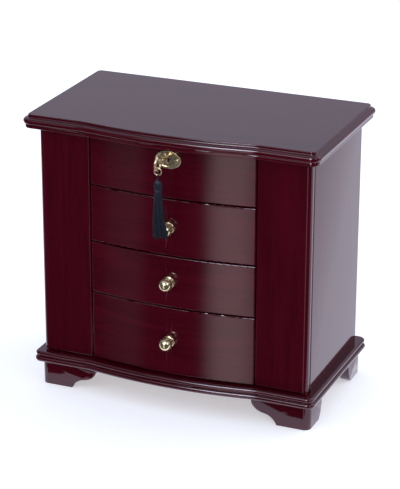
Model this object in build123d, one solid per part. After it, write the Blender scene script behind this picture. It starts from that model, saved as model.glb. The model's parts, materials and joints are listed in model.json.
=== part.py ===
from build123d import *
import math
import os

# Table-top jewellery chest in lacquered mahogany: a bow-fronted case with a lifting lid, three
# drawers, two swing-out side doors, a lever lock with a tasselled key, and four bracket feet.
# Millimetres. +X is the chest's right as the viewer faces it, -Y is the front, +Z is up, and Z = 0
# is the surface that the feet stand on.

os.makedirs("parts", exist_ok=True)

# ---------------------------------------------------------------- driving sizes
case_width = 300.0
case_depth = 154.0
foot_height = 27.5
base_thick = 12.0
case_height = 253.5            # base top to lid underside
lid_thick = 14.2

side_thick = 9.0
partition_thick = 10.0
back_thick = 6.0
top_board_thick = 4.0
floor_thick = 6.0
divider_thick = 5.0
front_thick = 10.0             # doors, drawer fronts and rail, measured at their ends

bay_half = 88.0                # half the clear width between the partitions
seam_x = 92.1                  # middle of the seam between a drawer front and a door
bow_depth = 8.5                # how far the middle of the front stands out
bow_blend = 100.0              # radius of the hollow curve that eases the bow into the shoulders
front_lap = 0.5                # air between a closed front and the case behind it

drawer_pitch_3 = 76.8          # base top to the seam over the bottom drawer
drawer_pitch_2 = 57.1
drawer_pitch_1 = 62.6
seam_gap = 1.2
door_side_gap = 1.0

lid_over_side = 6.0            # lid's flat top beyond the case
lid_over_front = 10.5
lid_over_back = 7.0
base_over_side = 5.0           # base's flat ledge beyond the case
base_over_front = 4.6
base_over_back = 9.6
plan_corner = 3.5

drawer_side_clear = 0.8
drawer_board = 6.0
drawer_bottom_thick = 3.0
drawer_back_clear = 4.0
drawer_floor_clear = 0.5
drawer_head_clear = 3.0
drawer_lining_thick = 4.0
lining_clear = 0.4

knob_ball_r = 6.9
knob_stand_off = 9.2           # drawer front to the middle of the ball
knob_flange_r = 6.4
knob_neck_r = 3.4
knob_stud_r = 2.0
knob_stud_length = 9.0

running_gap = 0.05             # radial clearance of pins, screws and shafts in their holes

pivot_inset = 3.5              # door pivot from the door's outer and back faces
pivot_pin_r = 1.25
pivot_pin_depth = 8.0
pivot_plate_length = 12.0
pivot_plate_thick = 1.0
catch_width = 4.0
catch_height = 14.0
magnet_depth = 4.0
strike_thick = 1.0

hinge_span = 92.0              # lid hinge centre from the middle
hinge_length = 30.0
knuckle_r = 2.0
hinge_pin_r = 0.8
leaf_thick = 1.0
case_leaf_height = 20.0
lid_leaf_depth = 7.4
screw_head_r = 1.9
screw_shank_r = 0.9
screw_half_pitch = 9.0
screw_from_edge = 2.6
case_screw_length = 5.0
lid_screw_length = 7.0
pin_behind_case = 3.0
pin_below_lid = 2.5

mirror_side_gap = 6.0            # between the frame and the compartment, at the sides
mirror_end_gap = 8.75             # the same at front and back
mirror_thick = 2.0
mirror_frame_width = 9.0
mirror_frame_thick = 4.0
mirror_lip = 3.0

escutcheon_width = 28.5
escutcheon_height = 19.3
escutcheon_thick = 2.2
escutcheon_rim = 2.4
escutcheon_dish = 0.9
escutcheon_below_lid = 14.7    # lid underside to the plate's middle
keyhole_rise = 3.5             # keyhole's round part above the plate's middle
keyhole_slot_width = 2.2
keyhole_slot_drop = 6.4
nail_r = 1.4
nail_shank_r = 0.55
nail_length = 4.0              # into the rail at the middle of the bow
nail_spread = 10.0

key_shaft_r = 1.6
key_reach = 27.0               # rail face to the middle of the key's bow
key_bow_r = 6.6
key_bow_wire = 1.4
key_bit_reach = 5.2
key_bit_thick = 1.4
ring_r = 3.8
ring_wire = 0.7
link_clear = 0.3

lock_width = 30.0
lock_height = 27.0
lock_wall = 1.2
lock_front = 5.0               # lock case's front, behind the rail's face at the middle
lock_thick = 9.5
selvedge_thick = 1.5
selvedge_overhang = 4.0
selvedge_lap = 1.5
bolt_throw = 5.0
bolt_length = 8.5
bolt_half_thick = 1.3
bolt_link = 4.0                # width of the bolt's tail, which stays behind the staple
bolt_past_staple = 1.25        # how far the thrown bolt stands past the staple
strike_plate_width = 10.0
staple_thick = 2.5
staple_width = 6.0
staple_drop = 8.0
staple_gap = 0.6
staple_leg = 1.1

tassel_loop_r = 2.5
tassel_thread_r = 0.6
loop_slack = 0.9               # air over the ring's wire, so that the loop can swing
tassel_neck = 3.2
tassel_head_r = 4.4
tassel_length = 62.0           # top of the head to the ends of the threads
tassel_half_width = 8.0        # at the ends of the threads
tassel_half_depth = 4.6
tassel_waist = 4.2

foot_long = 64.5               # bracket's length along the front or back
foot_short = 41.0              # bracket's length along the side
foot_board = 11.0
foot_toe = 36.0                # flat sole along the front or back
foot_side_toe = 30.0           # flat sole along the side
foot_ogee = ((3.4, 16.6), (9.5, 12.6), (19.5, 9.8), (25.2, 5.5))
foot_side_curve = ((3.0, 15.0), (7.0, 4.5))
foot_out_side = 3.3            # bracket's face beyond the case side
foot_out_front = 0.5
foot_out_back = 9.3
foot_corner = 7.0

roll_count = 7
roll_r = 6.4
roll_gap = 0.7
tray_board = 3.0
tray_height = 20.0
peg_r = 1.5
peg_ball_r = 3.0
peg_length = 20.0
peg_seat = 4.0
peg_below_top = 22.0

eased_edge = 1.5
door_outer_round = 5.0
soft_edge = 0.8

# ---------------------------------------------------------------- derived places
key_front = bow_depth + key_reach + key_bow_r + key_bow_wire
base_bead_out = 4.4
lid_bead_out = 6.7
rear_reach = max(case_depth + base_over_back + base_bead_out, case_depth + lid_over_back + lid_bead_out)
front_y = (key_front - rear_reach) / 2          # door face, so that Y = 0 is mid-depth
back_y = front_y + case_depth
carcass_y = front_y + front_thick + front_lap   # front edges of the boards behind the fronts
half = case_width / 2
base_top = foot_height + base_thick
lid_bottom = base_top + case_height
lid_top = lid_bottom + lid_thick
board_top = lid_bottom - top_board_thick        # tops of sides and partitions
partition_out = bay_half + partition_thick
inner_side = half - side_thick
inner_back = back_y - back_thick
mirror_width = 2 * (bay_half - mirror_side_gap - mirror_frame_width + mirror_lip)
mirror_depth = inner_back - carcass_y - 2 * (mirror_end_gap + mirror_frame_width - mirror_lip)
front_half = seam_x - door_side_gap / 2         # half width of drawer fronts and rail
door_inner = seam_x + door_side_gap / 2
bow_radius = (front_half ** 2 + bow_depth ** 2) / (2 * bow_depth)
bow_centre_y = front_y - bow_depth + bow_radius
bow_face_y = front_y - bow_depth

seam_23 = base_top + drawer_pitch_3
seam_12 = seam_23 + drawer_pitch_2
seam_top = seam_12 + drawer_pitch_1
floor_bottom = seam_top + seam_gap / 2
floor_top = floor_bottom + floor_thick

escutcheon_z = lid_bottom - escutcheon_below_lid
key_z = escutcheon_z + keyhole_rise
key_bow_y = bow_face_y - key_reach
link_z = key_z - key_bow_r                      # the bow wire that the ring hangs on
ring_z = link_z + key_bow_wire + link_clear - (ring_r - ring_wire)
swing_z = ring_z - ring_r                       # the ring wire that the tassel hangs on
loop_z = swing_z + ring_wire + loop_slack + tassel_thread_r - tassel_loop_r
tassel_top = loop_z - tassel_loop_r
hinge_y = back_y + pin_behind_case
hinge_z = lid_bottom - pin_below_lid
pivot_x = half - pivot_inset
pivot_y = front_y + front_thick - pivot_inset
door_bottom = base_top + seam_gap
door_top = board_top - door_side_gap
lock_y = bow_face_y + lock_front
bolt_low = lid_bottom - staple_drop + 2.0
bolt_high = bolt_low + 3.0

# ---------------------------------------------------------------- helpers


def block(x0, x1, y0, y1, z0, z1):
    """Square-edged board between two corners."""
    centre = Pos((x0 + x1) / 2, (y0 + y1) / 2, (z0 + z1) / 2)
    return centre * Box(x1 - x0, y1 - y0, z1 - z0)


def rod_y(x, z, y0, y1, radius):
    """Round bar along Y."""
    return Pos(x, (y0 + y1) / 2, z) * Rot(90, 0, 0) * Cylinder(radius, y1 - y0)


def rod_x(x0, x1, y, z, radius):
    """Round bar along X."""
    return Pos((x0 + x1) / 2, y, z) * Rot(0, 90, 0) * Cylinder(radius, x1 - x0)


def rod_z(x, y, z0, z1, radius):
    """Round bar along Z."""
    return Pos(x, y, (z0 + z1) / 2) * Cylinder(radius, z1 - z0)


def mirrored(shape):
    """The same piece on the other side of the chest."""
    return mirror(shape, about=Plane.YZ)


def both(shape):
    """A piece and its mirror image, as separate solids."""
    return [shape, mirrored(shape)]


def save(name, *shapes):
    """Write one node from one or more separate solids."""
    solids = [solid for shape in shapes for solid in shape.solids()]
    body = solids[0] if len(solids) == 1 else Compound(children=solids)
    export_step(body, f"parts/{name}.step")


def bow_front(half_width, z0, z1, rear):
    """Board with a bowed front face and a flat back, its four front edges eased."""
    end_y = bow_centre_y - math.sqrt(bow_radius ** 2 - half_width ** 2)
    left = (-half_width, end_y)
    right = (half_width, end_y)
    outline = ThreePointArc(left, (0, bow_face_y), right)
    outline += Polyline(right, (half_width, rear), (-half_width, rear), left)
    board = Pos(0, 0, z0) * extrude(make_face(outline), z1 - z0)
    arcs = board.edges().filter_by(GeomType.CIRCLE)
    uprights = board.edges().filter_by(Axis.Z).sort_by(Axis.Y)[:2]
    return fillet(list(arcs) + list(uprights), eased_edge)


def plan_wire(over_side, over_front, over_back):
    """Outline of the lid or base: straight shoulders, bowed middle, small round corners."""
    width = half + over_side
    shoulder = front_y - over_front
    rear = back_y + over_back
    radius = bow_radius + over_front
    blend = bow_blend - over_front
    reach = radius + blend
    blend_x = math.sqrt(bow_depth * (2 * reach - bow_depth))
    blend_centre = (blend_x, shoulder - blend)
    share = radius / reach
    meet = (blend_x * share, bow_centre_y + (blend_centre[1] - bow_centre_y) * share)
    turn = math.atan2(blend_x - meet[0], meet[1] - blend_centre[1]) / 2
    mid = (blend_x - blend * math.sin(turn), blend_centre[1] + blend * math.cos(turn))
    c = plan_corner
    k = c * (1 - math.sqrt(0.5))
    right = [
        ThreePointArc(meet, mid, (blend_x, shoulder)),
        Line((blend_x, shoulder), (width - c, shoulder)),
        ThreePointArc((width - c, shoulder), (width - k, shoulder + k), (width, shoulder + c)),
        Line((width, shoulder + c), (width, rear - c)),
        ThreePointArc((width, rear - c), (width - k, rear - k), (width - c, rear)),
    ]
    bow = ThreePointArc((-meet[0], meet[1]), (0, bow_face_y - over_front), meet)
    back = Line((width - c, rear), (c - width, rear))
    curves = right + [mirrored(curve) for curve in right] + [bow, back]
    return Wire([edge for curve in curves for edge in curve.edges()])


def moulded_board(path, section, z0, z1):
    """Flat board whose edge is the section, run round the plan outline."""
    centre = Pos(0, 0, z0) * extrude(make_face(path.edges()), z1 - z0)
    heading = path % 0
    start = Plane(origin=path @ 0, x_dir=heading.cross(Vector(0, 0, 1)), z_dir=-heading)
    edge = sweep(start * section, path=path)
    return centre + edge


# ---------------------------------------------------------------- lid


def lid_section():
    """Lid edge: rounded arris, cove, wide bead, thin lip. X is outward and Y is up."""
    top = lid_top
    arris = 1.0
    step_x = 1.6
    cove = 1.7
    bead = 3.4
    lip_x = 4.6
    lip_round = 1.0
    cove_z = top - 1.9
    bead_x = step_x + cove
    bead_z = cove_z - cove - bead
    lip_z = bead_z - bead
    s = math.sqrt(0.5)
    line = Polyline((-1, lid_bottom), (-1, top), (step_x - arris, top))
    line += ThreePointArc(
        (step_x - arris, top), (step_x - arris + arris * s, top - arris + arris * s), (step_x, top - arris)
    )
    line += Line((step_x, top - arris), (step_x, cove_z))
    line += ThreePointArc((step_x, cove_z), (bead_x - cove * s, cove_z - cove * s), (bead_x, cove_z - cove))
    line += ThreePointArc((bead_x, bead_z + bead), (bead_x + bead, bead_z), (bead_x, lip_z))
    line += Polyline((bead_x, lip_z), (lip_x, lip_z), (lip_x, lid_bottom + lip_round))
    line += ThreePointArc(
        (lip_x, lid_bottom + lip_round),
        (lip_x - lip_round * (1 - s), lid_bottom + lip_round * (1 - s)),
        (lip_x - lip_round, lid_bottom),
    )
    line += Line((lip_x - lip_round, lid_bottom), (-1, lid_bottom))
    return line


def base_section():
    """Base edge: two stacked beads under a flat ledge. X is outward and Y is up."""
    top = base_top
    upper = 2.5
    upper_x = 1.1
    lower = 3.0
    lower_x = base_bead_out - lower
    upper_z = top - upper
    lower_z = foot_height + lower
    waist_x = 1.9
    waist_z = (upper_z - upper + lower_z + lower) / 2
    line = Polyline((-1, foot_height), (-1, top), (upper_x, top))
    line += ThreePointArc((upper_x, top), (upper_x + upper, upper_z), (waist_x, waist_z + 0.4))
    line += Line((waist_x, waist_z + 0.4), (waist_x, waist_z - 0.4))
    line += ThreePointArc((waist_x, waist_z - 0.4), (lower_x + lower, lower_z), (lower_x, foot_height))
    line += Line((lower_x, foot_height), (-1, foot_height))
    return line


def lid_pieces():
    """Lid board with its hinge seats, the mirror and its frame, and the lock's strike plate."""
    path = plan_wire(lid_over_side, lid_over_front, lid_over_back)
    board = moulded_board(path, make_face(lid_section()), lid_bottom, lid_top)
    leaf = block(
        hinge_span - hinge_length / 2, hinge_span + hinge_length / 2,
        hinge_y - 0.5, hinge_y + lid_leaf_depth, lid_bottom, lid_bottom + leaf_thick,
    )
    middle_y = (carcass_y + inner_back) / 2
    frame_x = mirror_width / 2 + mirror_frame_width - mirror_lip
    frame_y = mirror_depth / 2 + mirror_frame_width - mirror_lip
    frame_z = lid_bottom - mirror_frame_thick
    frame = block(-frame_x, frame_x, middle_y - frame_y, middle_y + frame_y, frame_z, lid_bottom)
    frame = fillet(frame.edges().group_by(Axis.Z)[0], 1.5)
    frame -= block(
        -mirror_width / 2, mirror_width / 2, middle_y - mirror_depth / 2, middle_y + mirror_depth / 2,
        lid_bottom - mirror_thick, lid_bottom,
    )
    sight_x = mirror_width / 2 - mirror_lip
    sight_y = mirror_depth / 2 - mirror_lip
    frame -= block(-sight_x, sight_x, middle_y - sight_y, middle_y + sight_y, frame_z, lid_bottom)
    mirror_pane = block(
        -mirror_width / 2 + 0.2, mirror_width / 2 - 0.2,
        middle_y - mirror_depth / 2 + 0.2, middle_y + mirror_depth / 2 - 0.2,
        lid_bottom - mirror_thick, lid_bottom,
    )
    strike_half = lock_width / 2
    strike_y0 = lock_y + lock_thick / 2 - strike_plate_width / 2
    strike_y1 = strike_y0 + strike_plate_width
    strike = block(-strike_half, strike_half, strike_y0, strike_y1, lid_bottom, lid_bottom + leaf_thick)
    staple_y0 = lock_y + lock_thick / 2 - staple_width / 2
    staple = block(
        -staple_thick / 2, staple_thick / 2, staple_y0, staple_y0 + staple_width,
        lid_bottom - staple_drop, lid_bottom,
    )
    eye = block(
        -staple_thick, staple_thick, staple_y0 + staple_leg, staple_y0 + staple_width - staple_leg,
        bolt_low - staple_gap, bolt_high + staple_gap,
    )
    save("lid_board", board - leaf - mirrored(leaf) - strike - lid_screw_holes())
    save("mirror_frame", frame)
    save("mirror_pane", mirror_pane)
    save("lid_strike_plate", strike + (staple - eye))


def lid_screw_places():
    """Screws that hold the lid leaves: X, Y of each."""
    y = hinge_y + lid_leaf_depth - screw_from_edge
    steps = (-screw_half_pitch, screw_half_pitch)
    return [(sign * (hinge_span + step), y) for sign in (-1, 1) for step in steps]


def screw_z(x, y, z, grow=0.0):
    """Countersunk screw pointing up, its head flush with the plane z."""
    head = Pos(x, y, z + leaf_thick / 2) * Cylinder(screw_head_r + grow, leaf_thick)
    return head + rod_z(x, y, z + leaf_thick / 2, z + lid_screw_length + grow, screw_shank_r + grow)


def lid_screw_holes():
    """Holes for the lid leaf screws."""
    holes = [screw_z(x, y, lid_bottom, running_gap) for x, y in lid_screw_places()]
    return Part() + holes


def case_screw_places():
    """Screws that hold the case leaves: X, Z of each."""
    z = hinge_z - case_leaf_height + 2 * screw_from_edge
    steps = (-screw_half_pitch, screw_half_pitch)
    return [(sign * (hinge_span + step), z) for sign in (-1, 1) for step in steps]


def screw_y(x, z):
    """Countersunk screw pointing forward into the back, its head flush with the leaf."""
    outer = back_y + leaf_thick
    head = rod_y(x, z, back_y, outer, screw_head_r)
    return head + rod_y(x, z, back_y - case_screw_length, outer - leaf_thick / 2, screw_shank_r)


def hinge_pieces():
    """Two butt hinges: case leaves, lid leaves, pins and screws."""
    x0 = hinge_span - hinge_length / 2
    x1 = hinge_span + hinge_length / 2
    step = hinge_length / 5
    bore = rod_x(x0 - 1, x1 + 1, hinge_y, hinge_z, hinge_pin_r + running_gap)
    case_leaf = block(x0, x1, back_y, back_y + leaf_thick, hinge_z - case_leaf_height, hinge_z - knuckle_r)
    lid_leaf = block(x0, x1, hinge_y - 0.5, hinge_y + lid_leaf_depth, lid_bottom, lid_bottom + leaf_thick)
    clear = 0.15
    for index in range(5):
        start = x0 + index * step + (clear if index else 0)
        end = x0 + (index + 1) * step - (clear if index < 4 else 0)
        knuckle = rod_x(start, end, hinge_y, hinge_z, knuckle_r)
        if index % 2 == 0:
            web = block(start, end, back_y, hinge_y, hinge_z - knuckle_r, hinge_z - knuckle_r + leaf_thick)
            case_leaf += knuckle + web
        else:
            web = block(start, end, hinge_y, hinge_y + knuckle_r, hinge_z, lid_bottom)
            lid_leaf += knuckle + web
    case_leaf -= bore
    lid_leaf -= bore
    for x, z in case_screw_places()[2:]:
        case_leaf -= rod_y(x, z, back_y - 1, back_y + leaf_thick + 1, screw_head_r + running_gap)
    for x, y in lid_screw_places()[2:]:
        lid_leaf -= rod_z(x, y, lid_bottom - 1, lid_bottom + leaf_thick + 1, screw_head_r + running_gap)
    pin = rod_x(x0 - 0.8, x1 + 0.8, hinge_y, hinge_z, hinge_pin_r)
    save("lid_hinge_case_leaves", *both(case_leaf))
    save("lid_hinge_lid_leaves", *both(lid_leaf))
    save("lid_hinge_pins", *both(pin))
    save("lid_hinge_case_screws", *[screw_y(x, z) for x, z in case_screw_places()])
    save("lid_hinge_lid_screws", *[screw_z(x, y, lid_bottom) for x, y in lid_screw_places()])


# ---------------------------------------------------------------- case


def pivot_pins(grow=0.0):
    """Door pivot pins on the right: one down through the top board, one up from the base."""
    upper = rod_z(pivot_x, pivot_y, door_top - pivot_pin_depth - grow, lid_bottom + grow, pivot_pin_r + grow)
    lower = rod_z(
        pivot_x, pivot_y, base_top - base_thick / 2 - grow, door_bottom + pivot_pin_depth + grow,
        pivot_pin_r + grow,
    )
    return [upper, lower]


def magnet_box(grow=0.0):
    """Door magnet let into the right partition's front edge."""
    x0 = door_inner + 0.8
    z = (door_bottom + door_top) / 2
    return block(
        x0 - grow, x0 + catch_width + grow, carcass_y - grow, carcass_y + magnet_depth + grow,
        z - catch_height / 2 - grow, z + catch_height / 2 + grow,
    )


def peg_places():
    """Necklace pegs: X of each on the right."""
    gap = inner_side - partition_out
    return [partition_out + gap * share for share in (0.27, 0.73)]


def case_pieces():
    """Boards of the case, with everything let into them."""
    path = plan_wire(base_over_side, base_over_front, base_over_back)
    base = moulded_board(path, make_face(base_section()), foot_height, base_top)
    for pin in pivot_pins(running_gap):
        base -= pin
        base -= mirrored(pin)
    save("base_board", base)

    side = block(inner_side, half, carcass_y, back_y, base_top, board_top)
    save("side_right", side)
    save("side_left", mirrored(side))

    partition = block(bay_half, partition_out, carcass_y, inner_back, base_top, board_top)
    partition -= magnet_box(running_gap)
    save("partition_right", partition)
    save("partition_left", mirrored(partition))

    top = block(bay_half, half, carcass_y, back_y, board_top, lid_bottom)
    top += block(front_half, half, front_y + soft_edge, carcass_y, board_top, lid_bottom)
    top -= pivot_pins(running_gap)[0]
    save("top_board_right", top)
    save("top_board_left", mirrored(top))

    back = block(-inner_side, inner_side, inner_back, back_y, base_top, board_top)
    back += block(-bay_half, bay_half, inner_back, back_y, board_top, lid_bottom)
    for x in peg_places():
        hole = rod_y(x, board_top - peg_below_top, inner_back - 1, inner_back + peg_seat, peg_r + running_gap)
        back -= hole
        back -= mirrored(hole)
    for x, z in case_screw_places():
        back -= rod_y(x, z, back_y - case_screw_length - 0.1, back_y + 1, screw_shank_r + running_gap)
    save("back_panel", back)

    for name, z in (("divider_lower", seam_23), ("divider_upper", seam_12)):
        save(name, block(-bay_half, bay_half, carcass_y, inner_back, z - divider_thick / 2, z + divider_thick / 2))
    save("compartment_floor", block(-bay_half, bay_half, carcass_y, inner_back, floor_bottom, floor_top))

    pins = pivot_pins()
    save("door_pivot_pins", *(pins + [mirrored(pin) for pin in pins]))
    save("door_magnets", *both(magnet_box()))


def foot_pieces():
    """Four bracket feet, each a mitred pair of boards with an ogee cut."""
    out_x = half + foot_out_side
    near_y = front_y - foot_out_front
    far_y = back_y + foot_out_back
    h = foot_height

    def bracket(face_y):
        """Front-right foot whose broad face lies at face_y."""
        inner = out_x - foot_long
        toe = out_x - foot_toe
        broad_line = Polyline((toe, 0), (out_x, 0), (out_x, h), (inner, h))
        broad_line += Spline((inner, h), *[(inner + along, z) for along, z in foot_ogee], (toe, 0))
        broad = Plane.XZ.offset(-(face_y + foot_board)) * make_face(broad_line)
        broad = extrude(broad, foot_board)
        rear = face_y + foot_short
        heel = face_y + foot_side_toe
        side_line = Polyline((heel, 0), (face_y, 0), (face_y, h), (rear, h))
        side_line += Spline((rear, h), *[(rear - along, z) for along, z in foot_side_curve], (heel, 0))
        side = Plane.YZ.offset(out_x - foot_board) * make_face(side_line)
        side = extrude(side, foot_board)
        foot = broad + side
        corner = foot.edges().filter_by(Axis.Z).sort_by(lambda e: e.center().X - e.center().Y)[-1]
        return fillet(corner, foot_corner)

    front = bracket(near_y)
    back = mirror(bracket(-far_y), about=Plane.XZ)
    save("foot_front_right", front)
    save("foot_front_left", mirrored(front))
    save("foot_back_right", back)
    save("foot_back_left", mirrored(back))


# ---------------------------------------------------------------- fronts


def keyhole(y0, y1):
    """Keyhole passage along Y: a round hole with a slot below it for the bit."""
    hole = rod_y(0, key_z, y0, y1, key_shaft_r + 0.6)
    half_slot = keyhole_slot_width / 2
    return hole + block(-half_slot, half_slot, y0, y1, key_z - keyhole_slot_drop, key_z)


def rail_solid():
    """Fixed front rail before the lock is let in."""
    return bow_front(front_half, seam_top + seam_gap / 2, lid_bottom, carcass_y)


def lock_box(grow=0.0):
    """Outer box of the lock case."""
    return block(
        -lock_width / 2 - grow, lock_width / 2 + grow, lock_y - grow, lock_y + lock_thick + grow,
        lid_bottom - lock_height - grow, lid_bottom,
    )


def selvedge(grow=0.0):
    """Lock's top plate, flush with the rail's top edge."""
    reach = lock_width / 2 + selvedge_overhang + grow
    return block(
        -reach, reach, lock_y - selvedge_lap - grow, lock_y + lock_thick + selvedge_lap + grow,
        lid_bottom - selvedge_thick, lid_bottom,
    )


def rail_pieces():
    """Rail, escutcheon with its nails, and the lock."""
    rail = rail_solid()
    plate_y = bow_face_y - escutcheon_thick
    outline = Plane.XZ.offset(-(bow_face_y + 3)) * Pos(0, escutcheon_z) * Ellipse(
        escutcheon_width / 2, escutcheon_height / 2
    )
    plate = extrude(outline, escutcheon_thick + 3)
    plate = fillet(plate.faces().sort_by(Axis.Y)[0].edges(), 0.7)
    dish = Plane.XZ.offset(-(plate_y + escutcheon_dish)) * Pos(0, escutcheon_z) * Ellipse(
        escutcheon_width / 2 - escutcheon_rim, escutcheon_height / 2 - escutcheon_rim
    )
    plate -= extrude(dish, escutcheon_dish + 1)
    plate = plate - rail - keyhole(plate_y - 1, bow_face_y + 3)
    nails = []
    for sign in (-1, 1):
        x = sign * nail_spread
        face = plate_y + escutcheon_dish
        shank = rod_y(x, escutcheon_z, face, bow_face_y + nail_length, nail_shank_r)
        dome = Pos(x, face, escutcheon_z) * Sphere(nail_r)
        dome -= block(x - 2, x + 2, face, face + 2, escutcheon_z - 2, escutcheon_z + 2)
        nails.append(dome + shank)
        hole = rod_y(x, escutcheon_z, face - 1, bow_face_y + nail_length + 0.1, nail_shank_r + running_gap)
        plate -= hole
        rail -= hole
    rail = rail - lock_box(running_gap) - selvedge(running_gap)
    rail -= keyhole(bow_face_y - 1, lock_y + 1)
    save("front_rail", rail)
    save("escutcheon", plate)
    save("escutcheon_nails", *nails)

    case = lock_box() + selvedge()
    cavity = block(
        -lock_width / 2 + lock_wall, lock_width / 2 - lock_wall, lock_y + lock_wall,
        lock_y + lock_thick - lock_wall, lid_bottom - lock_height + lock_wall, lid_bottom - selvedge_thick,
    )
    slot_x = staple_thick / 2 + staple_gap + 0.4
    middle = lock_y + lock_thick / 2
    slot_y = staple_width / 2 + staple_gap
    case -= cavity
    case -= block(-slot_x, slot_x, middle - slot_y, middle + slot_y, lid_bottom - selvedge_thick - 1, lid_bottom)
    case -= keyhole(lock_y - 1, lock_y + lock_wall)
    save("lock_case", case)

    plate_y0 = lock_y + lock_thick - lock_wall - 1.6
    plate_y1 = plate_y0 + 1.3
    tip = staple_thick / 2 + bolt_past_staple - bolt_throw
    tail = tip - bolt_length
    talon_x = key_bit_thick / 2 + 1.4
    web_low = key_z - key_bit_reach - 2.8
    web_high = lid_bottom - staple_drop - 0.6
    bar = block(tail, tip, middle - bolt_half_thick, middle + bolt_half_thick, bolt_low, bolt_high)
    link = block(tail, tail + bolt_link, middle, plate_y1, web_high - 1, bolt_high)
    web = block(tail, talon_x + 2.5, plate_y0, plate_y1, web_low, web_high)
    talon = block(talon_x, talon_x + 2.5, lock_y + 2.6, plate_y1, web_low, key_z - key_shaft_r)
    save("lock_bolt", bar + link + web + talon)


def key_pieces():
    """Key, the ring through its bow, and the tassel."""
    shaft_end = lock_y + lock_thick - lock_wall - 2.2
    bow_edge = key_bow_y + key_bow_r
    key = rod_y(0, key_z, bow_edge - 0.6, shaft_end, key_shaft_r)
    key += Pos(0, key_bow_y, key_z) * Rot(0, 90, 0) * Torus(key_bow_r, key_bow_wire)
    key += rod_y(0, key_z, bow_edge + 0.8, bow_edge + 2.6, key_shaft_r + 1.0)
    key += rod_y(0, key_z, bow_edge + 4.0, bow_edge + 5.0, key_shaft_r + 0.6)
    half_bit = key_bit_thick / 2
    key += block(-half_bit, half_bit, lock_y + 2.6, shaft_end, key_z - key_bit_reach, key_z)
    save("key", key)

    save("key_ring", Pos(0, key_bow_y, ring_z) * Rot(90, 0, 0) * Torus(ring_r, ring_wire))

    loop = Pos(0, key_bow_y, loop_z) * Rot(0, 90, 0) * Torus(tassel_loop_r, tassel_thread_r)
    neck = rod_z(0, key_bow_y, tassel_top - tassel_neck, tassel_top + tassel_thread_r / 2, 2 * tassel_thread_r)
    save("tassel_loop", loop + neck)

    head_z = tassel_top - tassel_neck
    sections = []
    profile = (
        (0.0, 2.0, 2.0), (0.05, 3.9, 3.7), (0.11, tassel_head_r, 4.0), (0.17, tassel_waist, 3.6),
        (0.45, 5.6, 4.0), (0.75, 7.0, 4.4), (1.0, tassel_half_width, tassel_half_depth),
    )
    for share, rx, ry in profile:
        plane = Plane.XY.offset(head_z - share * tassel_length)
        sections.append(plane * Pos(0, key_bow_y) * Ellipse(rx, ry))
    save("tassel_skirt", loft(sections, ruled=True))


def knob(z):
    """Turned brass knob on a threaded stud, standing out of the bowed front at height z."""
    ball_t = knob_stand_off
    join = ball_t - math.sqrt(knob_ball_r ** 2 - knob_neck_r ** 2)
    line = Polyline(
        (0, -ball_t - knob_ball_r), (0, knob_stud_length), (knob_stud_r, knob_stud_length), (knob_stud_r, 0),
        (knob_flange_r, 0), (knob_flange_r, -1.0),
    )
    line += ThreePointArc((knob_flange_r, -1.0), (knob_flange_r - 0.7, -1.9), (knob_flange_r - 1.8, -2.2))
    line += Polyline((knob_flange_r - 1.8, -2.2), (knob_neck_r, -2.5), (knob_neck_r, -join))
    line += ThreePointArc((knob_neck_r, -join), (knob_ball_r, -ball_t), (0, -ball_t - knob_ball_r))
    return Pos(0, bow_face_y, z) * revolve(make_face(line), Axis.Y)


def drawer_pieces(number, front_low, front_high, bay_low, bay_high):
    """One drawer: bowed front, side and back boards, bottom, lining pad and knob."""
    rear = front_y + front_thick
    middle = (front_low + front_high) / 2
    front = bow_front(front_half, front_low, front_high, rear)
    front -= rod_y(0, middle, bow_face_y - 1, bow_face_y + knob_stud_length + 0.1, knob_stud_r + running_gap)
    outer = bay_half - drawer_side_clear
    inner = outer - drawer_board
    back_end = inner_back - drawer_back_clear
    low = bay_low + drawer_floor_clear
    high = bay_high - drawer_head_clear
    side = block(inner, outer, rear, back_end, low, high)
    end = block(-inner, inner, back_end - drawer_board, back_end, low, high)
    bottom_top = low + 1.0 + drawer_bottom_thick
    bottom = block(-inner, inner, rear, back_end - drawer_board, low + 1.0, bottom_top)
    pad = block(
        -inner + lining_clear, inner - lining_clear, rear + lining_clear,
        back_end - drawer_board - lining_clear, bottom_top, bottom_top + drawer_lining_thick,
    )
    name = f"drawer_{number}"
    save(f"{name}_front", front)
    save(f"{name}_walls", side, mirrored(side), end)
    save(f"{name}_bottom", bottom)
    save(f"{name}_lining", pad)
    save(f"{name}_knob", knob(middle))


def pivot_plate(z0, z1, grow=0.0):
    """Brass pivot plate let into a door's end, round at the pivot."""
    radius = pivot_inset - 1.0 + grow
    tail = pivot_x - pivot_plate_length
    plate = rod_z(pivot_x, pivot_y, z0, z1, radius) + rod_z(tail, pivot_y, z0, z1, radius)
    return plate + block(tail, pivot_x, pivot_y - radius, pivot_y + radius, z0, z1)


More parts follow.
